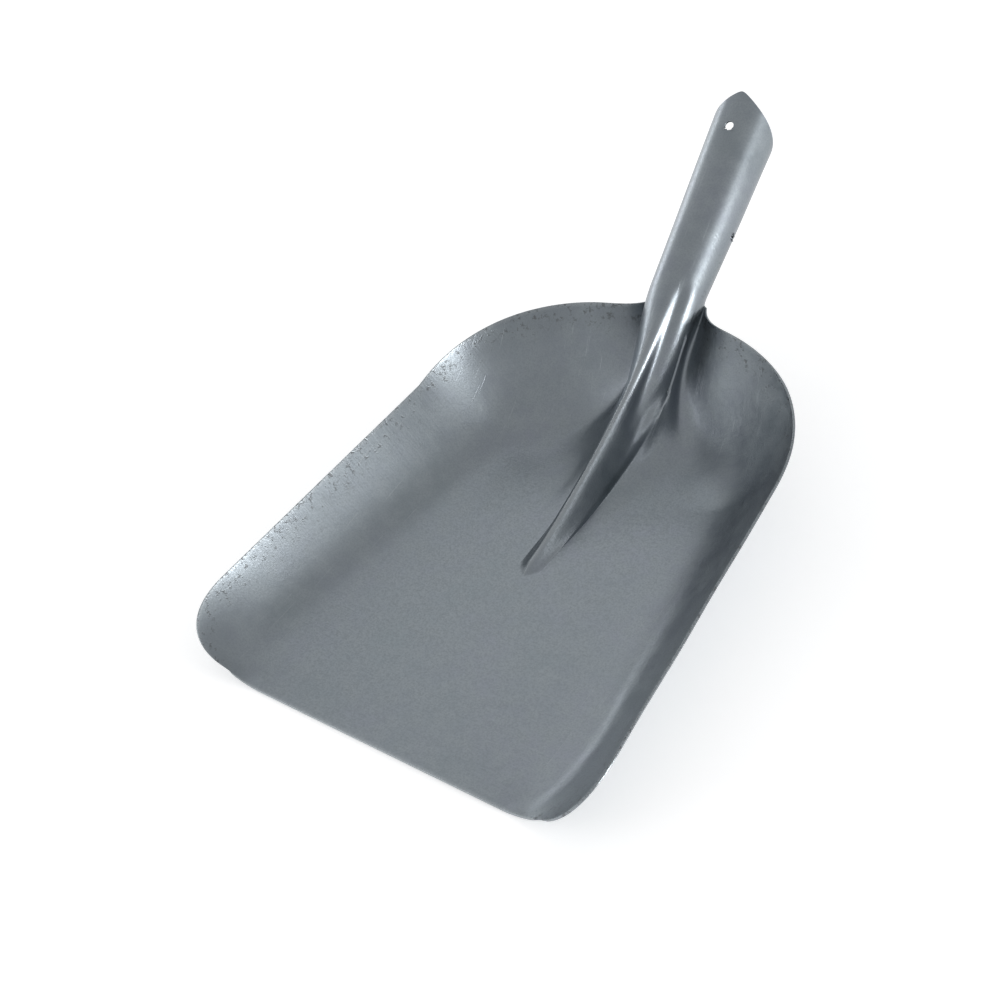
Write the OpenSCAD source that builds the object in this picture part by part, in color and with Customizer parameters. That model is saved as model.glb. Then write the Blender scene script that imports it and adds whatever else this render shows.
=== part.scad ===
// Grain scoop shovel head, pressed from one steel sheet.
// X runs across the pan, +Y from the mouth to the socket, +Z up; the floor's underside is at Z = 0.
// The head is one pressing. Its four forming zones are separate solids that meet edge to edge:
// the pan, the hollow rib in its floor, the neck behind the rib, and the rolled socket.

/* [Sheet] */
// Thickness of the steel sheet
sheet_t = 1.5; // [1.2:0.1:2]

/* [Pan plan] */
// Width of the mouth where its corners turn up
mouth_w = 218; // [212:1:224]
// Widest width, at the front of the side walls
front_w = 276; // [266:1:286]
// Distance from the mouth to where the side walls run straight
front_y = 38; // [34:1:42]
// Width where the side walls end and the back wall begins
back_w = 254; // [244:1:262]
// Distance from the mouth to where the side walls end
back_y = 222; // [212:1:232]
// Length of the pan from the mouth to the middle of the back rim
pan_len = 324; // [316:1:332]
// Roundness of the back rim, 2 for an ellipse and more for squarer
rim_power = 2.25; // [2:0.05:2.6]

/* [Pan walls] */
// Height of the mouth edge where its corners turn up
mouth_h = 6; // [3:0.5:8]
// Height of the rim at the front of the side walls
front_h = 35.5; // [30:0.5:41]
// Height of the rim where the side walls end
back_h = 51; // [44:1:58]
// Height the back rim would reach at its middle
middle_h = 74; // [68:1:80]
// How sharply a wall turns up from the floor, 1 for straight and 2 for a soft curve
wall_power = 1.7; // [1.4:0.05:2]
// Width of the flat floor at the mouth
floor_mouth_w = 172; // [166:1:180]
// Width of the flat floor at the front of the side walls
floor_front_w = 208; // [200:1:214]
// Width of the flat floor near the back
floor_back_w = 158; // [150:1:166]
// Length of the flat floor
floor_len = 286; // [278:1:292]

/* [Rib] */
// Distance from the mouth to the tip of the rib
rib_tip_y = 144; // [124:1:164]
// Distance from the mouth to the section where the rib gives way to the neck
rib_end_y = 266; // [260:1:272]
// Height of the rib at that section
rib_h = 43; // [38:1:48]
// Height of the small lip at the rib's tip
rib_lip = 3; // [1:0.5:4]
// Half width of the rib at its tip
rib_tip_half = 7.5; // [6:0.5:10]
// Half width of the rib at its back end
rib_end_half = 13; // [11:0.5:15]
// Height of the low mound of floor that the rib's back end stands on
mound_h = 16; // [8:1:20]

/* [Socket] */
// Slope of the socket's axis above the floor
socket_tilt = 33.5; // [30:0.5:37]
// Distance from the mouth to the start of the socket's axis
socket_y = 316; // [312:1:320]
// Height of the start of the socket's axis above the floor
socket_z = 59; // [56:1:62]
// Outer radius of the socket at the start of its axis
socket_r = 17.3; // [16:0.1:18.5]
// How much the outer radius grows for each millimetre along the axis
socket_taper = 0.03; // [0.02:0.005:0.04]
// Distance along the axis to the tip of the spear point
spear_t = 165; // [155:1:175]
// Distance along the axis to the section where the neck ends and the closed socket begins
neck_t = 36; // [34:1:40]

/* [Nail holes] */
// Diameter of the hole in the spear point
nail_d = 6.5; // [4:0.5:8]
// Distance from the spear's tip to that hole
nail_from_tip = 25; // [20:1:30]
// Diameter of the cross holes in the socket's flanks
cross_d = 5; // [3:0.5:6]
// Distance along the axis to the cross holes
cross_t = 77; // [70:1:90]

/* [Hidden] */
steel = [0.47, 0.48, 0.5];

// Rows run from the mouth (v = 0) over the front corner (1), the side wall (2) and the back wall (3)
// to the end of the neck (4). Columns run from the middle (q = 0) over the rib's foot (1) and the
// start of the wall (2) to the rim (3).
row_y = [[0, 0], [1, 20], [2, 174], [3, rib_end_y]];
tip_v = 1 + (rib_tip_y - row_y[1][1]) / (row_y[2][1] - row_y[1][1]);
floor_side_y = back_y - 3;
floor_power = 2.4;
// The back rim's superellipse is followed to this angle, where the neck's fillet leaves it
neck_angle = 69.5;
// The front corner is a cubic curve that leaves the mouth edge along its slope, with a handle of
// corner_out, and joins the side rim along its line, with a handle of corner_in
corner_out = 9;
corner_in = 46;
mound_y = rib_tip_y + 25;
mound_reach = 26;
// Half angles, from the socket's crest, of the rib's foot, the wall's start and the sheet's edge
foot_phi = 75;
wall_phi = 95;
neck_phi = 120;
seam_phi = 174;
// Length of socket over which the edge goes from neck_phi to seam_phi
wrap_len = 60;
// The spear's edge falls by this much at spear_phi from the crest
spear_drop = 26;
spear_phi = 118;
spear_power = 0.85;
split_phi = 60;
cross_drop = 3.2;
cut = 60;

tip_y = socket_y + spear_t * cos(socket_tilt)
    - (socket_r + socket_taper * spear_t - sheet_t) * sin(socket_tilt);
mid_y = tip_y / 2;

function smooth(x) = let (c = min(max(x, 0), 1)) c * c * (3 - 2 * c);
function part(x, a, b) = min(max((x - a) / (b - a), 0), 1);
function unit(a) = a / max(norm(a), 1e-9);
function mix(a, b, s) = a + (b - a) * s;

mouth_end = [mouth_w / 2, 0, mouth_h];
side_start = [front_w / 2, front_y, front_h];
side_end = [back_w / 2, back_y, back_h];
mouth_slope = unit([(mouth_w - floor_mouth_w) / 2, 0, wall_power * mouth_h]);
corner_a = mouth_end + corner_out * mouth_slope;
corner_b = side_start - corner_in * unit(side_end - side_start);

// The rim from the turned-up end of the mouth edge to the neck
function rim(v) = v <= 1
    ? let (w = 1 - v)
        w * w * w * mouth_end + 3 * w * w * v * corner_a + 3 * w * v * v * corner_b
            + v * v * v * side_start
    : v <= 2
    ? mix(side_start, side_end, v - 1)
    : let (a = neck_angle * (v - 2), e = 2 / rim_power, c = pow(cos(a), e), s = pow(sin(a), e))
        [back_w / 2 * c, back_y + (pan_len - back_y) * s, back_h + (middle_h - back_h) * s];

// Where the flat floor ends and the wall begins, for the same row
function wall_foot(v) = v <= 1
    ? [mix(floor_mouth_w, floor_front_w, v) / 2, front_y * v, 0]
    : v <= 2
    ? [mix(floor_front_w, floor_back_w, v - 1) / 2, mix(front_y, floor_side_y, v - 1), 0]
    : let (a = neck_angle * (v - 2), e = 2 / floor_power)
        [floor_back_w / 2 * pow(cos(a), e),
         floor_side_y + (floor_len - floor_side_y) * pow(sin(a), e), 0];

// Height of the rib's crest: a short lip at the tip, then a curve that steepens to the back
function crest(y) = let (s = part(y, rib_tip_y, rib_end_y))
    rib_h * pow(s, 1.35) + rib_lip * (1 - s) * smooth((y - rib_tip_y) / 9);

// Cross-section of the rib from its crest (0) to its foot (1): a soft bell at the tip that
// becomes a round arch towards the back
function arch(a, y) = let (
        firm = 0.55 * smooth((y - rib_tip_y) / 60),
        bell = 0.5 + 0.5 * cos(180 * a))
    mix(bell, sqrt(max(1 - a * a, 0)), firm);

// A point of the upper face of the pan or the rib
function blade(q, v) = let (
        y = lookup(v, row_y),
        mid = [0, y, 0],
        wall = wall_foot(v),
        edge = rim(v),
        half = mix(rib_tip_half, rib_end_half, part(y, rib_tip_y, rib_end_y)),
        foot = mix(mid, wall, half / wall[0]),
        plan = q <= 1 ? mix(mid, foot, q) : q <= 2 ? mix(foot, wall, q - 1)
            : mix(wall, [edge[0], edge[1], 0], q - 2),
        mound = mound_h * pow(part(y, mound_y, rib_end_y), 2),
        away = min(norm(plan - foot) / mound_reach, 1),
        z = q <= 1 ? mound + (crest(y) - mound) * arch(q, y)
            : mound * (0.5 + 0.5 * cos(180 * away)) + edge[2] * pow(max(q - 2, 0), wall_power))
    [plan[0], plan[1], z];

along = [0, cos(socket_tilt), sin(socket_tilt)];
crestward = [0, -sin(socket_tilt), cos(socket_tilt)];

// Half angle of the sheet's edge round the socket at distance t along its axis
function edge_phi(t) = mix(neck_phi, seam_phi, smooth((t - neck_t) / wrap_len));
function phi_at(q, t) = q <= 1 ? foot_phi * q : q <= 2 ? mix(foot_phi, wall_phi, q - 1)
    : mix(wall_phi, edge_phi(t), q - 2);
function radial(phi) = crestward * cos(phi) + [sin(phi), 0, 0];
function outer_r(t) = socket_r + socket_taper * t;
function on_socket(q, t) = [0, socket_y, socket_z] + along * t + radial(phi_at(q, t)) * outer_r(t);

// The neck carries each column from the blade's last row to the socket's first section with a
// cubic that leaves and arrives in the direction of the sheet
function neck_point(q, s) = let (
        a = blade(q, 3),
        b = on_socket(q, neck_t),
        span = norm(b - a),
        out = unit(a - blade(q, 2.999)) * span)
    (2 * s * s * s - 3 * s * s + 1) * a + (s * s * s - 2 * s * s + s) * out
        + (3 * s * s - 2 * s * s * s) * b + (s * s * s - s * s) * along * span;

function face_point(q, v) = (v <= 3 ? blade(q, v) : neck_point(q, v - 3)) + [0, 0, sheet_t];

// Rows and columns of the grid
function steps(a, b, n) = [for (i = [0:n - 1]) mix(a, b, i / n)];
q_half = concat(steps(0, 1, 6), steps(1, 2, 5), steps(2, 3, 8), [3]);
half_n = len(q_half) - 1;
v_rows = concat(steps(0, 1, 8), steps(1, tip_v, 8), steps(tip_v, 2, 4), steps(2, 3, 16),
    steps(3, 4, 9), [4]);
last_row = len(v_rows) - 1;
tip_row = 16;
rib_last = tip_row + 20;
foot_col = 6;

function mirrored(p, i) = i < half_n ? [-p[0], p[1], p[2]] : p;
half_grid = [for (v = v_rows) [for (q = q_half) face_point(q, v)]];
upper = [for (j = [0:last_row]) [for (i = [0:2 * half_n])
    mirrored(half_grid[j][abs(i - half_n)], i)]];

// Outward normal of the upper face, from the neighbours in the grid; the neck's last section
// takes the socket's radius, so that the two solids meet on one plane
function grid_normal(i, j) = j == last_row
    ? let (q = q_half[abs(i - half_n)], n = radial(phi_at(q, neck_t))) mirrored(n, i)
    : unit(cross(
        upper[j][min(i + 1, 2 * half_n)] - upper[j][max(i - 1, 0)],
        upper[min(j + 1, last_row)][i] - upper[max(j - 1, 0)][i]));
lower = [for (j = [0:last_row]) [for (i = [0:2 * half_n])
    let (p = upper[j][i] - sheet_t * grid_normal(i, j)) [p[0], p[1], max(p[2], 0)]]];

// A closed sheet over the grid's cells between rows j0 and j1. Columns within skip of the middle
// are left out from row gap_from on, and columns beyond keep are left out everywhere.
module sheet(j0, j1, keep, skip, gap_from) {
    wide = 2 * half_n + 1;
    tall = j1 - j0 + 1;
    function inside(i, j) = i >= half_n - keep && i < half_n + keep && j >= j0 && j < j1
        && !(j >= gap_from && i >= half_n - skip && i < half_n + skip);
    function up(i, j) = (j - j0) * wide + i;
    function down(i, j) = up(i, j) + wide * tall;
    points = concat(
        [for (j = [j0:j1]) each upper[j]],
        [for (j = [j0:j1]) each lower[j]]);
    cells = [for (j = [j0:j1 - 1]) for (i = [0:2 * half_n - 1]) if (inside(i, j)) [i, j]];
    tops = [for (c = cells) let (i = c[0], j = c[1])
        each [[up(i, j), up(i, j + 1), up(i + 1, j + 1)], [up(i, j), up(i + 1, j + 1), up(i + 1, j)]]];
    bottoms = [for (c = cells) let (i = c[0], j = c[1])
        each [[down(i, j), down(i + 1, j + 1), down(i, j + 1)],
              [down(i, j), down(i + 1, j), down(i + 1, j + 1)]]];
    function wall(a, b, c, d) = [[a, b, d], [b, c, d]];
    sides = [for (c = cells) let (i = c[0], j = c[1]) each concat(
        inside(i, j - 1) ? [] : wall(up(i, j), up(i + 1, j), down(i + 1, j), down(i, j)),
        inside(i, j + 1) ? [] : wall(up(i + 1, j + 1), up(i, j + 1), down(i, j + 1), down(i + 1, j + 1)),
        inside(i - 1, j) ? [] : wall(up(i, j + 1), up(i, j), down(i, j), down(i, j + 1)),
        inside(i + 1, j) ? [] : wall(up(i + 1, j), up(i + 1, j + 1), down(i + 1, j + 1), down(i + 1, j)))];
    // the sides come first, the last row's before the mouth's
    sides_first = [for (k = [len(sides) - 1:-1:0]) sides[k]];
    translate([0, -mid_y, 0]) polyhedron(points, concat(sides_first, bottoms, tops));
}

// Flat floor with flared walls on three sides, cut away where the rib rises
module pan() {
    color(steel) sheet(0, rib_last, half_n, foot_col, tip_row);
}

// Hollow ridge that stiffens the floor and leads into the neck
module rib() {
    color(steel) sheet(tip_row, rib_last, foot_col, 0, last_row + 1);
}

// Where the back wall, the rib and the rim gather into the socket
module neck() {
    color(steel) sheet(rib_last, last_row, half_n, 0, last_row + 1);
}

// Distance along the axis of the spear's cut edge at angle phi from the crest
function spear_edge(phi) = spear_t - spear_drop * pow(phi / spear_phi, spear_power);

// Front and side views of what the spear point's cut leaves. The front view shapes the point up to
// split_phi from the crest, and the side view shapes the flanks beyond it.
module spear_front() {
    bend = [for (phi = [3:6:90]) let (t = spear_edge(phi)) [outer_r(t) * sin(phi), t]];
    shoulder = [cut, spear_edge(90)];
    half = concat(bend, [shoulder, [cut, 0]]);
    polygon(concat(half, [for (i = [len(half) - 1:-1:0]) [-half[i][0], half[i][1]]]));
}

module spear_side() {
    bend = [for (phi = [split_phi:6:180]) let (t = spear_edge(phi)) [-outer_r(t) * cos(phi), t]];
    polygon(concat([[cut, 0], [-cut, 0], [-cut, spear_t + 1], [bend[0][0] - 3, spear_t + 1]], bend,
        [[cut, spear_edge(180)]]));
}

// Back view of the gap between the sheet's two edges: wide at the neck, a narrow seam above
module seam_profile() {
    edge = [for (t = [neck_t - 1:6:spear_t]) [outer_r(t) * sin(edge_phi(t)), t]];
    polygon(concat(edge, [for (i = [len(edge) - 1:-1:0]) [-edge[i][0], edge[i][1]]]));
}

// Tapered tube, rolled from the sheet's tongue and open along its back, with a spear point
module socket() {
    color(steel)
    translate([0, socket_y - mid_y, socket_z + sheet_t])
    rotate([socket_tilt - 90, 0, 0])
    difference() {
        intersection() {
            rotate([0, 0, 90])
                rotate_extrude($fn = 96)
                polygon([
                    [outer_r(neck_t) - sheet_t, neck_t], [outer_r(neck_t), neck_t],
                    [outer_r(spear_t), spear_t], [outer_r(spear_t) - sheet_t, spear_t]]);
            rotate([90, 0, 0])
                linear_extrude(2 * cut, center = true)
                spear_front();
            rotate([90, 0, 90])
                linear_extrude(2 * cut, center = true)
                spear_side();
        }
        // open back
        rotate([-90, 0, 0])
            translate([0, 0, 1])
            mirror([0, 1, 0])
            linear_extrude(cut)
            seam_profile();
        // hole in the spear point
        translate([0, -2, spear_t - nail_from_tip])
            rotate([90, 0, 0])
            cylinder(d = nail_d, h = cut, $fn = 48);
        // cross holes in both flanks
        translate([0, cross_drop, cross_t])
            rotate([0, 90, 0])
            cylinder(d = cross_d, h = 2 * cut, center = true, $fn = 48);
    }
}

pan();
rib();
neck();
socket();
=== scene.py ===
# %% [markdown]
# # The head of a grain scoop shovel
#
# One sheet of steel is pressed into a pan with a hollow rib, drawn together in a neck and rolled into
# a socket. This script builds that sheet as one surface f(q, v), adds what the press left on it (a
# groove, a fold, soft bends, dents), gives it thickness and rounded edges, and cuts it into four pieces
# that take the places of the four solids in the frame: pan, rib, neck and socket.
#
# The axes are the frame's: X across the pan, +Y from the mouth to the socket, +Z up. Shapes are worked
# out in millimetres and become metres when a mesh is made.

import math

import bpy
import numpy as np
from mathutils import Matrix, Vector


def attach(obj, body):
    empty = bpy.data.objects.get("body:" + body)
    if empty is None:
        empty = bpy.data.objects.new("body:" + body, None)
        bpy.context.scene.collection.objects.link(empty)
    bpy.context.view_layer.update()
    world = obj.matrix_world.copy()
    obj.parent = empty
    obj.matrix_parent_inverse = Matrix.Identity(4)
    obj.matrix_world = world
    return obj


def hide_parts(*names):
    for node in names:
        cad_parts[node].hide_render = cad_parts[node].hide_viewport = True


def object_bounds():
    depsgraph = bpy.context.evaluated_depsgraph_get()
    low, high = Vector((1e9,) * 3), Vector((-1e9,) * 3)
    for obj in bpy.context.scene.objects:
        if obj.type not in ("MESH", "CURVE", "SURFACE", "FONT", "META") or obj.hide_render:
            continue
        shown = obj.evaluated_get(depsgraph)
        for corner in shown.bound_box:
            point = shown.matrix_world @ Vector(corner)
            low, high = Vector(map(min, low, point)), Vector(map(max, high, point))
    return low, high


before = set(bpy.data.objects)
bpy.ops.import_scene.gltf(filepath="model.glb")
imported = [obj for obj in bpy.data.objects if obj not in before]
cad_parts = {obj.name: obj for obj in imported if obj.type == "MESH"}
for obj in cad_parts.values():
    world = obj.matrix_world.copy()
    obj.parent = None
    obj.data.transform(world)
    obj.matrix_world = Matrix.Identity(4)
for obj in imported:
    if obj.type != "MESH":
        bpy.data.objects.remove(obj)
cad_low, cad_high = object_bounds()
print("nodes:", sorted(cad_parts))
print("frame box, mm:", [round(c * 1000, 1) for c in (*cad_low, *cad_high)])

MM = 0.001

# %% [markdown]
# ## Driving sizes
#
# The same values drive the solids in the frame, in millimetres and degrees. Y is counted from the
# mouth here, and the mouth lies where the frame's box begins.

# %% Driving sizes
MOUTH_Y = cad_low.y / MM
SHEET_T = 1.5
MOUTH_W, MOUTH_H = 218.0, 6.0
FRONT_W, FRONT_Y, FRONT_H = 276.0, 38.0, 35.5
BACK_W, BACK_Y, BACK_H = 254.0, 222.0, 51.0
PAN_LEN, MIDDLE_H, RIM_POWER = 324.0, 74.0, 2.25
FLOOR_MOUTH_W, FLOOR_FRONT_W, FLOOR_BACK_W, FLOOR_LEN = 172.0, 208.0, 158.0, 286.0
WALL_POWER, FLOOR_POWER = 1.7, 2.4
RIB_TIP_Y, RIB_END_Y, RIB_H, RIB_LIP = 144.0, 266.0, 43.0, 3.0
RIB_TIP_HALF, RIB_END_HALF, MOUND_H, MOUND_REACH = 7.5, 13.0, 16.0, 26.0
SOCKET_Y, SOCKET_Z, SOCKET_R, SOCKET_TAPER = 316.0, 59.0, 17.3, 0.03
SOCKET_TILT = math.radians(33.5)
NECK_T, SPEAR_T, SPEAR_DROP, SPEAR_PHI, SPEAR_POWER = 36.0, 165.0, 26.0, 118.0, 0.85
NECK_ANGLE = math.radians(69.5)
CORNER_OUT, CORNER_IN = 9.0, 46.0
FOOT_PHI, WALL_PHI, NECK_PHI, SEAM_PHI, WRAP_LEN = 75.0, 95.0, 120.0, 174.0, 60.0
FLOOR_SIDE_Y = BACK_Y - 3
MOUND_Y = RIB_TIP_Y + 25
# The middle's Y at the row marks v = 0, 1, 2, 3: mouth, front corner, side wall's end, neck's start
ROW_Y = np.array([0.0, 20.0, 174.0, RIB_END_Y])
TIP_V = 1 + (RIB_TIP_Y - ROW_Y[1]) / (ROW_Y[2] - ROW_Y[1])
NAIL_T, NAIL_R = SPEAR_T - 25, 3.25
CROSS_T, CROSS_PHI, CROSS_R = 77.0, 99.4, 2.5
print(f"the rib's tip is at row v = {TIP_V:.3f}; the mouth is at Y = {MOUTH_Y:.1f} mm")

# %% [markdown]
# ## Small helpers


# %% Helpers
def smooth(x):
    """3x^2 - 2x^3 between 0 and 1."""
    c = np.clip(x, 0, 1)
    return c * c * (3 - 2 * c)


def part(x, a, b):
    """How far x is from a to b, from 0 to 1."""
    return np.clip((x - a) / (b - a), 0, 1)


def mix(a, b, s):
    return a + (b - a) * s


def lift(s):
    """Gives a field of numbers a last axis, so that it scales a field of points."""
    return np.asarray(s)[..., None]


def unit(a):
    return a / np.maximum(np.linalg.norm(a, axis=-1, keepdims=True), 1e-9)


def point(x, y, z):
    return np.stack(np.broadcast_arrays(x, y, z), -1).astype(float)


# %% [markdown]
# ## The pan and the rib
#
# Row v crosses the head from the middle to the rim: v from 0 to 1 ends on the front corner, 1 to 2 on
# the side wall and 2 to 3 on the back wall. Column q runs along a row: 0 to 1 over half of the rib,
# 1 to 2 over the floor and 2 to 3 up the wall.

# %% Rim and floor line
mouth_end = np.array([MOUTH_W / 2, 0, MOUTH_H])
side_start = np.array([FRONT_W / 2, FRONT_Y, FRONT_H])
side_end = np.array([BACK_W / 2, BACK_Y, BACK_H])
mouth_slope = unit(np.array([(MOUTH_W - FLOOR_MOUTH_W) / 2, 0, WALL_POWER * MOUTH_H]))
corner_a = mouth_end + CORNER_OUT * mouth_slope
corner_b = side_start - CORNER_IN * unit(side_end - side_start)


def quarter(angle, power, start, size):
    """A quarter of the superellipse |x|^n + |y|^n = 1 from start, with semi-axes size, at angle."""
    c, s = np.cos(angle) ** (2 / power), np.sin(angle) ** (2 / power)
    return point(size[0] * c, start[1] + size[1] * s, start[2] + size[2] * s)


def rim(v):
    """Cubic Bezier round the corner, a straight line, then a superellipse."""
    c = lift(part(v, 0, 1))
    w = 1 - c
    corner = w**3 * mouth_end + 3 * w * w * c * corner_a + 3 * w * c * c * corner_b + c**3 * side_start
    side = mix(side_start, side_end, lift(part(v, 1, 2)))
    back = quarter(NECK_ANGLE * part(v, 2, 3), RIM_POWER, side_end,
                   (BACK_W / 2, PAN_LEN - BACK_Y, MIDDLE_H - BACK_H))
    return np.where(lift(v) <= 1, corner, np.where(lift(v) <= 2, side, back))


def wall_foot(v):
    """Where the flat floor ends: two straight lines, then a superellipse."""
    c, s = part(v, 0, 1), part(v, 1, 2)
    corner = point(mix(FLOOR_MOUTH_W, FLOOR_FRONT_W, c) / 2, FRONT_Y * c, 0)
    side = point(mix(FLOOR_FRONT_W, FLOOR_BACK_W, s) / 2, mix(FRONT_Y, FLOOR_SIDE_Y, s), 0)
    back = quarter(NECK_ANGLE * part(v, 2, 3), FLOOR_POWER, (0, FLOOR_SIDE_Y, 0),
                   (FLOOR_BACK_W / 2, FLOOR_LEN - FLOOR_SIDE_Y, 0))
    return np.where(lift(v) <= 1, corner, np.where(lift(v) <= 2, side, back))


# %% Rib and mound
def crest(y):
    """h s^1.35 along the rib, with a short lip at its tip."""
    s = part(y, RIB_TIP_Y, RIB_END_Y)
    return RIB_H * s**1.35 + RIB_LIP * (1 - s) * smooth((y - RIB_TIP_Y) / 9)


def arch(a, y):
    """The rib's section: the bell (1 + cos(pi a)) / 2, mixed with the circle sqrt(1 - a^2)."""
    firm = 0.12 + 0.4 * smooth((y - RIB_TIP_Y) / 60)
    return mix(0.5 + 0.5 * np.cos(np.pi * a), np.sqrt(np.clip(1 - a * a, 0, 1)), firm)


def blade(q, v):
    """A point of the pan's or rib's upper face."""
    y = np.interp(v, [0, 1, 2, 3], ROW_Y)
    middle, wall, edge = point(0, y, 0), wall_foot(v), rim(v)
    half = mix(RIB_TIP_HALF, RIB_END_HALF, part(y, RIB_TIP_Y, RIB_END_Y))
    foot = mix(middle, wall, lift(half / wall[..., 0]))
    plan = mix(mix(middle, foot, lift(part(q, 0, 1))), wall, lift(part(q, 1, 2)))
    plan = mix(plan, edge * (1, 1, 0), lift(part(q, 2, 3)))
    mound = MOUND_H * part(y, MOUND_Y, RIB_END_Y) ** 2
    away = np.clip(np.linalg.norm(plan - foot, axis=-1) / MOUND_REACH, 0, 1)
    on_rib = mound + (crest(y) - mound) * arch(np.clip(q, 0, 1), y)
    beside = mound * (0.5 + 0.5 * np.cos(np.pi * away)) + edge[..., 2] * part(q, 2, 3) ** WALL_POWER
    return point(plan[..., 0], plan[..., 1], np.where(q <= 1, on_rib, beside))


# %% [markdown]
# ## The socket and the neck
#
# The socket is a tapered tube about a tilted axis; phi is the angle from its crest and t the distance
# along its axis. The neck carries every column from the blade's last row to the tube with a cubic
# that leaves and arrives in the direction of the sheet.

# %% Socket and neck
along = np.array([0, math.cos(SOCKET_TILT), math.sin(SOCKET_TILT)])
crestward = np.array([0, -math.sin(SOCKET_TILT), math.cos(SOCKET_TILT)])


def edge_phi(t):
    return mix(NECK_PHI, SEAM_PHI, smooth((t - NECK_T) / WRAP_LEN))


def phi_at(q, t):
    spread = WALL_PHI + (edge_phi(t) - WALL_PHI) * (q - 2)
    return np.where(q <= 2, np.interp(q, [0, 1, 2], [0, FOOT_PHI, WALL_PHI]), spread)


def outer_r(t):
    return SOCKET_R + SOCKET_TAPER * t


def on_tube(phi, t):
    """axis(t) + r(t) (cos phi, sin phi) in the plane across the axis, phi in degrees."""
    p = np.radians(phi)
    round_it = lift(np.cos(p)) * crestward + point(np.sin(p), 0, 0)
    return np.array([0, SOCKET_Y, SOCKET_Z]) + lift(t) * along + lift(outer_r(t)) * round_it


def spear_edge(phi):
    """The tongue's cut edge falls from its tip with |phi|^0.85, blunted over the first degrees."""
    blunt = np.sqrt(phi * phi + 81) - 9
    return SPEAR_T - 1 - (SPEAR_DROP - 1) * (blunt / SPEAR_PHI) ** SPEAR_POWER


def neck_point(q, s):
    start, end = blade(q, np.full_like(q, 3.0)), on_tube(phi_at(q, NECK_T), np.full_like(q, NECK_T))
    span = np.linalg.norm(end - start, axis=-1, keepdims=True)
    out = unit(start - blade(q, np.full_like(q, 2.999))) * span
    s = lift(s)
    return ((2 * s**3 - 3 * s**2 + 1) * start + (s**3 - 2 * s**2 + s) * out
            + (3 * s**2 - 2 * s**3) * end + (s**3 - s**2) * along * span)


# %% [markdown]
# ## One grid for the whole sheet
#
# Rows and columns are denser where the shape is busier. Up the tube the columns even out, so that a
# nail hole can be opened by moving its neighbours onto rings.


# %% The grid of the upper face
def steps(a, b, count, lean=1.0):
    return a + (b - a) * (np.arange(count) / count) ** lean


q_half = np.concatenate([steps(0, 1, 32), steps(1, 2, 38, 1.5), steps(2, 3, 38), [3.0]])
v_rows = np.concatenate([steps(0, 1, 26), steps(1, TIP_V, 58), steps(TIP_V, 2, 22), steps(2, 3, 84),
                         steps(3, 4, 64), steps(4, 5, 150), [5.0]])
half_n = len(q_half) - 1
TIP_ROW, NECK_ROW, TUBE_ROW = 26 + 58, 26 + 58 + 22 + 84, 26 + 58 + 22 + 84 + 64
RIB_COLUMNS = 32

Q, V = np.meshgrid(q_half, v_rows)
even = smooth((V - 4) / 0.25) * (V > 4)
evenly = np.arange(half_n + 1) / half_n
tube_t = mix(NECK_T, spear_edge(SEAM_PHI * evenly), np.clip(V - 4, 0, 1))
tube_phi = mix(phi_at(Q, tube_t), edge_phi(tube_t) * evenly, even)

SIDE = np.sign(np.arange(-half_n, half_n + 1))
U = np.concatenate([-q_half[:0:-1], q_half])


def both_halves(field, odd=False):
    """Mirrors a field over the middle column; an odd one changes sign."""
    return np.concatenate([(-1 if odd else 1) * field[:, :0:-1], field], axis=1)


def open_hole(phi, t, centre_phi, centre_t, radius, reach=2.2):
    """Moves the grid's points near a centre onto rings round it, and returns the cells inside.

    With rings counted outwards in whole cells from rho = 1 on the hole's edge, a point at direction
    theta goes to (1 - f) * circle(theta) + f * its own place, with f from 0 at rho = 1 to 1 at reach.
    """
    arc = np.radians(1) * outer_r(centre_t)
    j, i = np.unravel_index(np.argmin(((phi - centre_phi) * arc) ** 2 + (t - centre_t) ** 2), phi.shape)
    ri = round(radius / abs((phi[j, i + 1] - phi[j, i]) * arc))
    rj = round(radius / abs(t[j + 1, i] - t[j, i]))
    dj, di = np.mgrid[: phi.shape[0], : phi.shape[1]] - np.array([j, i])[:, None, None]
    rho = np.maximum(np.abs(di) / ri, np.abs(dj) / rj)
    theta = np.arctan2(dj / rj, di / ri)
    f = np.clip((rho - 1) / (reach - 1), 0, 1)
    ring_phi = centre_phi + radius * np.cos(theta) / arc
    ring_t = centre_t + radius * np.sin(theta)
    near = (rho <= reach) & (rho > 0.999)
    phi[near] = mix(ring_phi, phi, f)[near]
    t[near] = mix(ring_t, t, f)[near]
    cell_i, cell_j = np.abs(di[:-1, :-1] + 0.5), np.abs(dj[:-1, :-1] + 0.5)
    return (cell_i < ri) & (cell_j < rj)


PHI, T = both_halves(tube_phi, odd=True), both_halves(tube_t)
tube_rows = slice(TUBE_ROW + 30, None)
cells = np.ones((len(v_rows) - 1, 2 * half_n), bool)
holes = [(0.0, NAIL_T, NAIL_R), (CROSS_PHI, CROSS_T, CROSS_R), (-CROSS_PHI, CROSS_T, CROSS_R)]
for phi_c, t_c, radius in holes:
    inside = open_hole(PHI[tube_rows], T[tube_rows], phi_c, t_c, radius)
    cells[tube_rows] &= ~inside
    print(f"hole at phi {phi_c:.0f}, t {t_c:.0f}: {inside.sum()} cells opened")

flat = blade(Q, np.clip(V, 0, 3))
neck = neck_point(Q, np.clip(V - 3, 0, 1))
half = np.where(lift(V) <= 3, flat, neck)
upper = both_halves(half)
upper[..., 0] *= SIDE
on_the_tube = both_halves(V) >= 4
upper = np.where(lift(on_the_tube), on_tube(PHI, T), upper)
V = both_halves(V)
U = np.broadcast_to(U, V.shape)


def grid_normals(points):
    """Cross product of the differences along columns and rows."""
    return unit(np.cross(np.gradient(points, axis=1), np.gradient(points, axis=0)))


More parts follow.
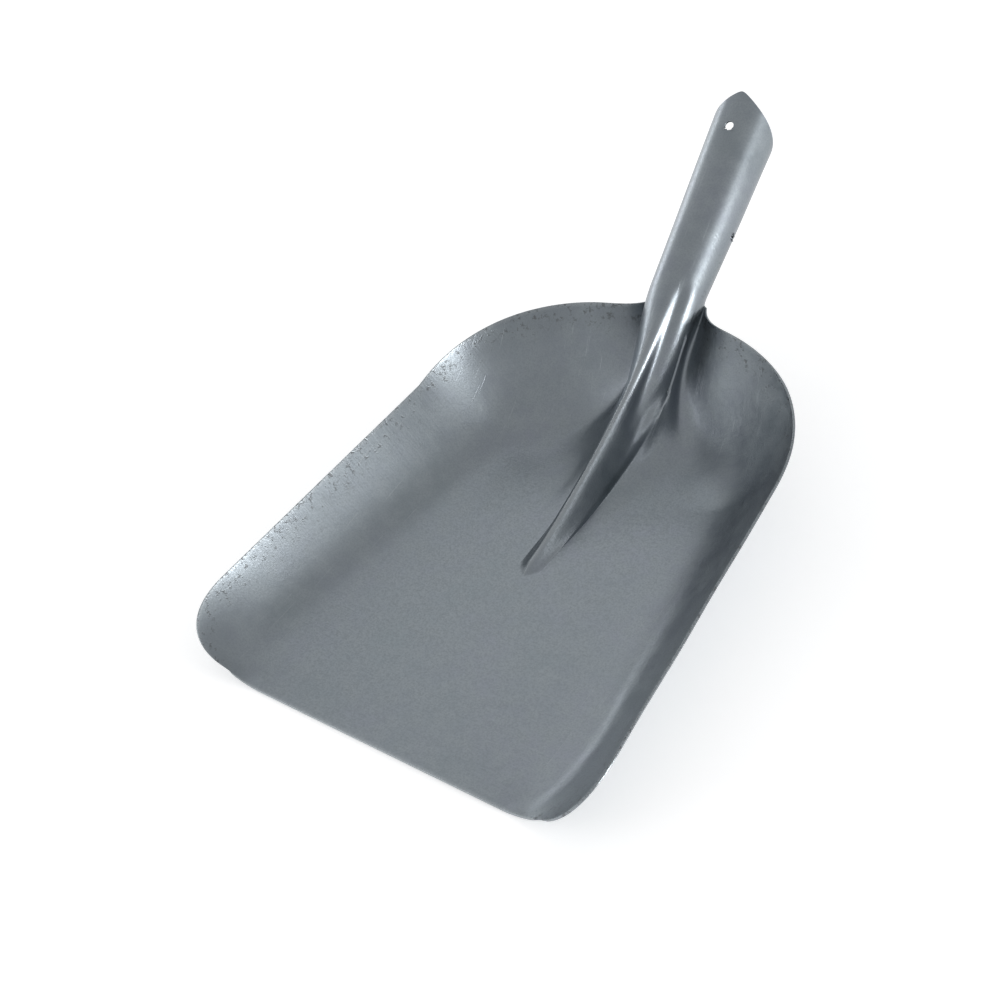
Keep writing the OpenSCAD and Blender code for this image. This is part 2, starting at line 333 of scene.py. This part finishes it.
# %% [markdown]
# ## What the press left on the sheet
#
# A groove runs beside the crest, from the socket's start down into the rib. On the right a fold comes
# down from the neck: the sheet is raised to a ridge line, so that a narrow valley stays between it and
# the rib. Where floor, walls and neck meet, drawn sheet has no sharp foot, so the grid is relaxed
# there. Soft dents a few tenths of a millimetre deep lie everywhere above the floor.


# %% Groove
GROOVE_DEPTH, GROOVE_HALF_WIDTH = 2.2, 0.19


def groove(u, v):
    """A trough exp(-x^2) across the columns, faded in and out along the rows."""
    centre = 0.5 - 0.05 * (v - 3)
    length = smooth((v - 2.75) / 0.45) * (1 - smooth((v - 3.85) / 0.2))
    return GROOVE_DEPTH * np.exp(-(((u - centre) / GROOVE_HALF_WIDTH) ** 2)) * length


upper -= lift(groove(U, V)) * grid_normals(upper)
print(f"the groove is {groove(U, V).max():.1f} mm deep")

# %% Fold
UPWARD = unit(np.array([0.30, -0.50, 0.81]))
FOLD_LINE = [(28, 330, 71), (24, 321, 58), (20.5, 312, 47), (18, 301, 39), (16, 284, 31),
             (13.5, 262, 22), (11.5, 240, 13.5), (10, 218, 7)]
FOLD_CROWN, FOLD_REACH, FOLD_BLEND = 1.6, 24.0, 1.2
SLOPE_TO_RIB, SLOPE_OUTWARDS = 1.1, 0.22
FADE_STEPS = 90  # the ridge dies out over this many steps of its line


def catmull(points, per_span=24):
    """A Catmull-Rom curve through the points."""
    p = np.array(points, float)
    p = np.concatenate([[2 * p[0] - p[1]], p, [2 * p[-1] - p[-2]]])
    s = (np.arange(per_span) / per_span)[:, None]
    spans = [0.5 * (2 * p[k] + (p[k + 1] - p[k - 1]) * s
                    + (2 * p[k - 1] - 5 * p[k] + 4 * p[k + 1] - p[k + 2]) * s**2
                    + (3 * p[k] - p[k - 1] - 3 * p[k + 1] + p[k + 2]) * s**3)
             for k in range(1, len(p) - 2)]
    return np.concatenate(spans + [p[-2:-1]])


def fold(points, keep):
    """Raises the sheet to a ridge along the fold line, as a smooth maximum of the two heights.

    Heights count along UPWARD, and d is the distance across the line, negative towards the rib. The
    ridge is line height - slope * (sqrt(d^2 + crown^2) - crown), and the lift is
    (height + ridge + sqrt((height - ridge)^2 + blend^2)) / 2 - height, faded by exp(-(gap / reach)^2)
    and by keep.
    """
    line = catmull(FOLD_LINE)
    near = np.linalg.norm(points[..., :2] - line[:, :2].mean(0), axis=-1) < 90
    p = points[near]
    up_line, up_p = line @ UPWARD, p @ UPWARD
    flat_line, flat_p = line - up_line[:, None] * UPWARD, p - up_p[:, None] * UPWARD
    gap = np.linalg.norm(flat_p[:, None] - flat_line[None], axis=-1)
    k = gap.argmin(1)
    tangent = np.gradient(flat_line, axis=0)
    pace = np.linalg.norm(tangent, axis=-1)
    tangent, climb = tangent / pace[:, None], np.gradient(up_line) / pace
    off = flat_p - flat_line[k]
    ahead = np.clip((off * tangent[k]).sum(-1), -2, 2)
    d = -(np.cross(tangent[k], off) @ UPWARD)
    slope = mix(SLOPE_TO_RIB, SLOPE_OUTWARDS, 0.5 + 0.5 * np.tanh(d / 1.5))
    ridge = up_line[k] + climb[k] * ahead - slope * (np.sqrt(d * d + FOLD_CROWN**2) - FOLD_CROWN)
    lifted = 0.5 * (up_p + ridge + np.sqrt((up_p - ridge) ** 2 + FOLD_BLEND**2))
    fade = keep[near] * np.exp(-((gap.min(1) / FOLD_REACH) ** 2)) * smooth((len(line) - k) / FADE_STEPS)
    grow = np.clip(lifted - up_p, 0, None) * fade
    points[near] = p + grow[:, None] * UPWARD
    return grow.max()


across = np.abs(U)
below_the_tube = smooth((3.5 - V) / 0.5) * smooth((3 - across) / 0.4)
print(f"the fold raises the sheet by up to {fold(upper, below_the_tube):.1f} mm")


# %% Relaxed bends
def relax(points, weight, rounds):
    """Each round moves a point towards the mean of its four neighbours, by half of weight."""
    for _ in range(rounds):
        inner = points[1:-1, 1:-1]
        mean = (points[2:, 1:-1] + points[:-2, 1:-1] + points[1:-1, 2:] + points[1:-1, :-2]) / 4
        points[1:-1, 1:-1] = inner + 0.5 * lift(weight[1:-1, 1:-1]) * (mean - inner)


pressed = upper.copy()
bends = smooth((across - 1.15) / 0.5) * smooth((3.0 - across) / 0.5) * smooth((V - 0.15) / 0.5)
relax(upper, bends * smooth((3.1 - V) / 0.2), 260)
pocket = smooth((across - 1.15) / 0.3) * smooth((3.0 - across) / 0.3) * smooth((V - 2.2) / 0.4)
relax(upper, pocket * smooth((3.7 - V) / 0.5), 400)
beside_rib = smooth((across - 0.5) / 0.3) * smooth((2.0 - across) / 0.4) * smooth((V - 2.3) / 0.3)
relax(upper, beside_rib * smooth((3.9 - V) / 0.4), 10)
moved = np.linalg.norm(upper - pressed, axis=-1)
print(f"relaxing moves the grid's points by up to {moved.max():.1f} mm")


# %% Soft dents
def dents(p):
    """Products of sines across the sheet, 0.25 mm deep at most: no reflection is ruler straight."""
    x, y = p[..., 0], p[..., 1]
    long_waves = 0.13 * np.sin(x / 17 + y / 41 + 1.1) * np.sin(y / 23 - x / 37)
    return long_waves + 0.12 * np.sin(x / 9 + 2) * np.sin(y / 13)


height_room = part(upper[..., 2], 0.3, 6)
upper += lift(dents(upper) * height_room) * grid_normals(upper)
print(f"dents of up to {np.abs(dents(upper) * height_room).max():.2f} mm")

# %% [markdown]
# ## Thickness and edges
#
# The upper face is at the sheet's thickness above the frame's floor, and the lower face lies one
# thickness along the inward normal, but never below the floor. Free edges swell into half an ellipse.

# %% Thickness
upper += (0, MOUTH_Y, SHEET_T)
normal = grid_normals(upper)
lower = upper - SHEET_T * normal
lower[..., 2] = np.maximum(lower[..., 2], 0)
lower_normal = -grid_normals(lower)


def corners_of(chosen):
    """Grid indices of the cells' corners, counter-clockwise from above, as flat numbers."""
    wide = upper.shape[1]
    j, i = np.nonzero(chosen)
    a = j * wide + i
    return np.stack([a, a + 1, a + wide + 1, a + wide], -1)


def border_of(chosen):
    """The directed edges round the chosen cells, with the sheet on their left."""
    ringed = np.pad(chosen, 1)
    outside = [~ringed[:-2, 1:-1], ~ringed[1:-1, 2:], ~ringed[2:, 1:-1], ~ringed[1:-1, :-2]]
    ends = [[0, 1], [1, 2], [2, 3], [3, 0]]
    return np.concatenate([corners_of(chosen & out)[:, end] for out, end in zip(outside, ends)])


EDGE_SWELL = 0.3
free = border_of(cells)
flat_upper, flat_lower = upper.reshape(-1, 3), lower.reshape(-1, 3)
flat_normal, flat_lower_normal = normal.reshape(-1, 3), lower_normal.reshape(-1, 3)
outward = np.zeros_like(flat_upper)
edge_out = unit(np.cross(flat_upper[free[:, 1]] - flat_upper[free[:, 0]], flat_normal[free[:, 0]]))
for end in (0, 1):
    np.add.at(outward, free[:, end], edge_out)
outward = unit(outward)
print(f"the sheet has {cells.sum()} cells and {len(free)} free edges")

# %% Masks for wear, painted shade and painted highlight: how near a point is to the rim, and how sharply the sheet bends there
RIM_WEAR_AND_SHADE, EDGE_WEAR, CROWN_GAIN = 16.0, 2.5, 4.0
left_gap = np.linalg.norm(upper - upper[:, :1], axis=-1)
right_gap = np.linalg.norm(upper - upper[:, -1:], axis=-1)
rim_gap = np.minimum(left_gap, right_gap)
mouth_gap = np.linalg.norm(upper - upper[:1], axis=-1)
# near_rim drives the dark specks of wear and the painted shade towards the rim.
near_rim = np.exp(-rim_gap / RIM_WEAR_AND_SHADE).reshape(-1)
near_edge = np.exp(-np.minimum(rim_gap, mouth_gap) / EDGE_WEAR).reshape(-1)


def crown_of(points, normals):
    """Convex bending across the columns, in radians per millimetre."""
    turn = np.gradient(normals, axis=1)
    step = np.gradient(points, axis=1)
    return (turn * step).sum(-1) / np.maximum((step * step).sum(-1), 1e-6)


crown = np.clip(crown_of(upper, normal) * CROWN_GAIN, 0, 1).reshape(-1)
print(f"points at an edge: {(near_edge > 0.5).mean():.1%}; on a crown: {(crown > 0.5).mean():.1%}")

# %% [markdown]
# ## The four pieces

# %% Piece maker
ARC = np.radians([60, 25, -25, -60])


def sheet_piece(name, chosen):
    """A closed solid of the chosen cells: upper face, lower face and rounded sides.

    A side's points are centre + sin(a) (upper - lower) / 2 + cos(a) swell * outward.
    """
    quads = corners_of(chosen)
    used = np.unique(quads)
    number = np.full(len(flat_upper), -1)
    number[used] = np.arange(len(used))
    top = number[quads]
    bottom = top[:, ::-1] + len(used)
    border = border_of(chosen)
    rimmed = np.unique(border)
    slot = np.full(len(flat_upper), -1)
    slot[rimmed] = np.arange(len(rimmed))
    up, down = flat_upper[rimmed], flat_lower[rimmed]
    out = outward[rimmed]
    levels = [number]
    points, normals = [flat_upper[used], flat_lower[used]], [flat_normal[used], flat_lower_normal[used]]
    for k, a in enumerate(ARC):
        levels.append(slot + 2 * len(used) + k * len(rimmed))
        points.append((up + down) / 2 + math.sin(a) * (up - down) / 2 + math.cos(a) * EDGE_SWELL * out)
        across_edge, along_out = math.sin(a) * EDGE_SWELL, math.cos(a) * SHEET_T / 2
        normals.append(unit(across_edge * flat_normal[rimmed] + along_out * out))
    levels.append(number + len(used))
    sides = [np.stack([hi[border[:, 1]], hi[border[:, 0]], lo[border[:, 0]], lo[border[:, 1]]], -1)
             for hi, lo in zip(levels, levels[1:])]
    faces = np.concatenate([top, bottom, *sides])
    co, no = np.concatenate(points) * MM, np.concatenate(normals)
    mesh = bpy.data.meshes.new(name)
    mesh.vertices.add(len(co))
    mesh.vertices.foreach_set("co", co.astype(np.float32).ravel())
    mesh.loops.add(faces.size)
    mesh.loops.foreach_set("vertex_index", faces.astype(np.int32).ravel())
    mesh.polygons.add(len(faces))
    mesh.polygons.foreach_set("loop_start", np.arange(0, faces.size, 4, dtype=np.int32))
    mesh.polygons.foreach_set("use_smooth", np.ones(len(faces), bool))
    for label, field in [("rim", near_rim), ("edge", near_edge), ("crown", crown)]:
        values = np.concatenate([field[used], 0.5 * field[used], *[field[rimmed]] * len(ARC)])
        mesh.attributes.new(label, "FLOAT", "POINT").data.foreach_set("value", values.astype(np.float32))
    mesh.update(calc_edges=True)
    mesh.validate()
    mesh.normals_split_custom_set_from_vertices(no.astype(np.float32))
    piece = bpy.data.objects.new(name, mesh)
    bpy.context.scene.collection.objects.link(piece)
    low, high = co.min(0) * 1000, co.max(0) * 1000
    print(f"{name}: {2 * len(faces)} triangles, {np.round(low, 1)} to {np.round(high, 1)} mm")
    return piece


row, column = np.mgrid[: cells.shape[0], : cells.shape[1]]
in_rib = (abs(column - half_n + 0.5) < RIB_COLUMNS) & (row >= TIP_ROW) & (row < NECK_ROW)
zones = {
    "pan": cells & (row < NECK_ROW) & ~in_rib,
    "rib": cells & in_rib,
    "neck": cells & (row >= NECK_ROW) & (row < TUBE_ROW),
    "socket": cells & (row >= TUBE_ROW),
}

# %% [markdown]
# ## Steel
#
# One material for the whole sheet. Colour: bluish mill grey, mottled at two scales, lighter where
# edges wear from rubbing, lighter on crowns as painted highlight and wear, darker towards the rim as
# painted shade and duller steel, with dark specks there. Roughness follows the same masks. Bump:
# rolling grain, fine pits and a few scratches. All of it reads object coordinates, which are the
# frame's metres, and three attributes of the mesh.

# %% Material
def node(tree, kind, inputs=None, **settings):
    """Adds a node. inputs are values or sockets by name or number; settings are its properties."""
    made = tree.nodes.new(kind)
    for key, value in settings.items():
        setattr(made, key, value)
    for key, value in (inputs or {}).items():
        if isinstance(value, bpy.types.NodeSocket):
            tree.links.new(value, made.inputs[key])
        else:
            made.inputs[key].default_value = value
    return made


def noise(tree, place, scale, detail=3.0, roughness=0.55, distortion=0.0):
    return node(tree, "ShaderNodeTexNoise", {"Vector": place, "Scale": scale, "Detail": detail,
                "Roughness": roughness, "Distortion": distortion}).outputs["Fac"]


def band(tree, value, low, high, to_low=0.0, to_high=1.0):
    """Maps low..high to to_low..to_high, clamped, with a smooth step."""
    return node(tree, "ShaderNodeMapRange", {0: value, 1: low, 2: high, 3: to_low, 4: to_high},
                interpolation_type="SMOOTHSTEP").outputs[0]


def calc(tree, how, a, b):
    return node(tree, "ShaderNodeMath", {0: a, 1: b}, operation=how).outputs[0]


def blend_colour(tree, factor, a, b):
    made = node(tree, "ShaderNodeMix", data_type="RGBA")
    for key, value in ((0, factor), (6, a), (7, b)):
        if isinstance(value, bpy.types.NodeSocket):
            tree.links.new(value, made.inputs[key])
        else:
            made.inputs[key].default_value = value
    return made.outputs[2]


def stretched(tree, place, scale, turn=0.0):
    inputs = {"Vector": place, "Scale": scale, "Rotation": (0, 0, turn)}
    return node(tree, "ShaderNodeMapping", inputs).outputs[0]


MILL_GREEN, MILL_BLUE = (0.257, 0.291, 0.314, 1), (0.272, 0.296, 0.334, 1)
MOTTLE_LIGHT, GRAIN_DARK = (0.296, 0.328, 0.352, 1), (0.200, 0.224, 0.238, 1)
# The first colour is lighter: wear from rubbing, and painted highlight on the crowns.
# The second colour paints shade towards the rim, which damps the reflections there, and also stands for
# duller steel.
RUBBED_AND_HIGHLIGHT, RIM_SHADE_AND_DULL, SPECK = (0.40, 0.43, 0.45, 1), (0.155, 0.175, 0.185, 1), (0.11, 0.115, 0.12, 1)


def sheet_steel():
    material = bpy.data.materials.new("sheet_steel")
    material.use_nodes = True
    tree = material.node_tree
    tree.nodes.clear()
    place = node(tree, "ShaderNodeTexCoord").outputs["Object"]
    rim_mask = node(tree, "ShaderNodeAttribute", attribute_name="rim").outputs["Fac"]
    edge_mask = node(tree, "ShaderNodeAttribute", attribute_name="edge").outputs["Fac"]
    crown_mask = node(tree, "ShaderNodeAttribute", attribute_name="crown").outputs["Fac"]

    clouds = noise(tree, place, 14, 4, 0.6)
    mottle = noise(tree, place, 75, 4, 0.62)
    grain = noise(tree, place, 900, 2, 0.6)
    roll = noise(tree, stretched(tree, place, (14, 900, 60), 0.35), 1.0, 2, 0.5)
    lines = noise(tree, stretched(tree, place, (1400, 18, 40), 0.6), 1.0, 1, 0.5)
    scratch = band(tree, lines, 0.70, 0.78)
    speck_noise = band(tree, noise(tree, place, 300, 3, 0.7), 0.54, 0.66)
    by_the_rim = band(tree, calc(tree, "MULTIPLY", rim_mask, mottle), 0.08, 0.40)
    specks = calc(tree, "MULTIPLY", speck_noise, by_the_rim)
    rubbed_edge = band(tree, edge_mask, 0.35, 1, 0, 0.6)
    # Lighter on convex crowns: painted highlight along the ridges, together with wear from rubbing.
    crown_highlight_and_wear = band(tree, crown_mask, 0.3, 1, 0, 0.5)
    rubbed_and_highlight = calc(tree, "MAXIMUM", rubbed_edge, crown_highlight_and_wear)
    wear_and_highlight = calc(tree, "MAXIMUM", rubbed_and_highlight, calc(tree, "MULTIPLY", scratch, 0.3))
    cloudy = band(tree, clouds, 0.3, 0.7, 0.35, 1)
    # Darker towards the rim: painted shade that damps the rim's reflections, together with duller steel.
    rim_shade_and_dull = calc(tree, "MULTIPLY", band(tree, rim_mask, 0.04, 0.6, 0, 0.75), cloudy)

    colour = blend_colour(tree, band(tree, clouds, 0.3, 0.7), MILL_GREEN, MILL_BLUE)
    colour = blend_colour(tree, band(tree, mottle, 0.3, 0.72), colour, MOTTLE_LIGHT)
    colour = blend_colour(tree, band(tree, grain, 0.35, 0.75, 0, 0.35), colour, GRAIN_DARK)
    # Painted highlight on crowns, and wear from rubbing on edges, crowns and scratches.
    colour = blend_colour(tree, wear_and_highlight, colour, RUBBED_AND_HIGHLIGHT)
    # Painted shade and duller steel towards the rim.
    colour = blend_colour(tree, calc(tree, "MULTIPLY", rim_shade_and_dull, 0.55), colour, RIM_SHADE_AND_DULL)
    colour = blend_colour(tree, calc(tree, "MULTIPLY", specks, 0.7), colour, SPECK)

    rough = band(tree, mottle, 0.25, 0.75, 0.33, 0.40)
    rough = calc(tree, "ADD", rough, band(tree, grain, 0.3, 0.7, -0.04, 0.05))
    rough = calc(tree, "SUBTRACT", rough, calc(tree, "MULTIPLY", rubbed_and_highlight, 0.14))

    relief = calc(tree, "ADD", calc(tree, "MULTIPLY", grain, 0.35), calc(tree, "MULTIPLY", roll, 0.35))
    relief = calc(tree, "ADD", relief, calc(tree, "MULTIPLY", mottle, 1.1))
    relief = calc(tree, "SUBTRACT", relief, calc(tree, "MULTIPLY", scratch, 0.25))
    relief = calc(tree, "SUBTRACT", relief, calc(tree, "MULTIPLY", specks, 0.5))
    bump = node(tree, "ShaderNodeBump", {"Strength": 0.35, "Distance": 0.0004, "Height": relief})

    finish = {"Base Color": colour, "Roughness": rough, "Normal": bump.outputs[0], "Metallic": 1.0}
    shader = node(tree, "ShaderNodeBsdfPrincipled", finish)
    out = node(tree, "ShaderNodeOutputMaterial")
    tree.links.new(shader.outputs[0], out.inputs[0])
    return material


steel = sheet_steel()
print("the steel has", len(steel.node_tree.nodes), "nodes")

# %% Make the pieces and tie them to the frame
for name, chosen in zones.items():
    piece = sheet_piece(name + "_sheet", chosen)
    piece.data.materials.append(steel)
    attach(piece, "root")
    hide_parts(name)

# %% [markdown]
# ## Floor, light and camera
#
# A pale floor with a faint glow of its own stays near white under soft light. The sky is an even grey
# that only the camera sees as near white. Bare steel shows what it reflects, so each softbox is there
# for one surface: low on the right for the long highlights of socket and rib, high on the right for
# the rib's front, front left for the back corners, back left for the pan's floor and low on the left
# for the socket's crest.

# %% Floor
FLOOR_HALF, FLOOR_Z = 40.0, -0.0004

floor_mesh = bpy.data.meshes.new("floor")
floor_corners = [(x * FLOOR_HALF, y * FLOOR_HALF, FLOOR_Z) for x, y in ((-1, -1), (1, -1), (1, 1), (-1, 1))]
floor_mesh.from_pydata(floor_corners, [], [(0, 1, 2, 3)])
floor = bpy.data.objects.new("floor", floor_mesh)
bpy.context.scene.collection.objects.link(floor)
paper = bpy.data.materials.new("paper")
paper.use_nodes = True
paper_shader = paper.node_tree.nodes["Principled BSDF"]
paper_shader.inputs["Base Color"].default_value = (0.88, 0.88, 0.88, 1)
paper_shader.inputs["Roughness"].default_value = 0.9
paper_shader.inputs["Emission Color"].default_value = (1, 1, 1, 1)
paper_shader.inputs["Emission Strength"].default_value = 0.38
floor_mesh.materials.append(paper)

# %% Light
HORIZON, ZENITH, SKY_SEEN = 0.64, 0.60, 0.95

world = bpy.data.worlds.new("studio")
bpy.context.scene.world = world
world.use_nodes = True
sky = world.node_tree
direction = node(sky, "ShaderNodeTexCoord").outputs["Generated"]
height = node(sky, "ShaderNodeSeparateXYZ", {0: direction}).outputs[2]
dim = band(sky, height, 0.0, 0.9, HORIZON, ZENITH)
seen = node(sky, "ShaderNodeLightPath").outputs["Is Camera Ray"]
strength = node(sky, "ShaderNodeMix", {0: seen, 2: dim, 3: SKY_SEEN}).outputs[0]
sky.links.new(strength, sky.nodes["Background"].inputs["Strength"])
sky.nodes["Background"].inputs["Color"].default_value = (0.985, 0.993, 1.0, 1)

middle = (cad_low + cad_high) / 2


def softbox(name, azimuth, elevation, distance, size, power):
    """An area light that looks at the object's middle. Azimuth 0 is at -Y and 90 at +X."""
    a, e = math.radians(azimuth), math.radians(elevation)
    back = Vector((math.sin(a) * math.cos(e), -math.cos(a) * math.cos(e), math.sin(e)))
    data = bpy.data.lights.new(name, "AREA")
    data.shape, data.size, data.size_y, data.energy = "RECTANGLE", size[0], size[1], power
    light = bpy.data.objects.new(name, data)
    light.location = middle + back * distance
    light.rotation_mode = "QUATERNION"
    light.rotation_quaternion = (-back).to_track_quat("-Z", "Y")
    bpy.context.scene.collection.objects.link(light)
    print(f"{name}: {power} W from azimuth {azimuth}, elevation {elevation}")


softbox("right_box", 90, 5, 1.5, (0.40, 0.35), 12)
softbox("high_right_box", 104, 27, 1.6, (0.5, 0.35), 0.9)
softbox("front_left_box", -46, 18, 1.8, (1.4, 0.9), 7)
softbox("back_left_box", 222, 42, 1.9, (1.5, 1.0), 1.7)
softbox("left_box", 258, 8, 1.9, (1.2, 0.5), 5)

# %% Camera
AZIMUTH, ELEVATION, ROLL = (math.radians(a) for a in (43.98, 40.0, -13.02))
DISTANCE, LENS, SENSOR = 0.8198, 49.81, 36.0
TARGET = Vector((-0.01998, middle.y - 0.0606, 0.0415))
back = Vector((math.sin(AZIMUTH) * math.cos(ELEVATION), -math.cos(AZIMUTH) * math.cos(ELEVATION),
               math.sin(ELEVATION)))
level = (-back).cross(Vector((0, 0, 1))).normalized()
upright = level.cross(-back)
right = math.cos(ROLL) * level + math.sin(ROLL) * upright
up = math.cos(ROLL) * upright - math.sin(ROLL) * level
camera = bpy.data.objects.new("camera", bpy.data.cameras.new("camera"))
camera.data.lens, camera.data.sensor_width = LENS, SENSOR
turned = Matrix((right, up, back)).transposed().to_4x4()
camera.matrix_world = Matrix.Translation(TARGET + back * DISTANCE) @ turned
bpy.context.scene.collection.objects.link(camera)
bpy.context.scene.camera = camera
bpy.context.scene.view_settings.view_transform = "Standard"
print("the camera stands at", [round(c, 3) for c in camera.matrix_world.translation], "m")

# %% Finish
bpy.context.view_layer.update()
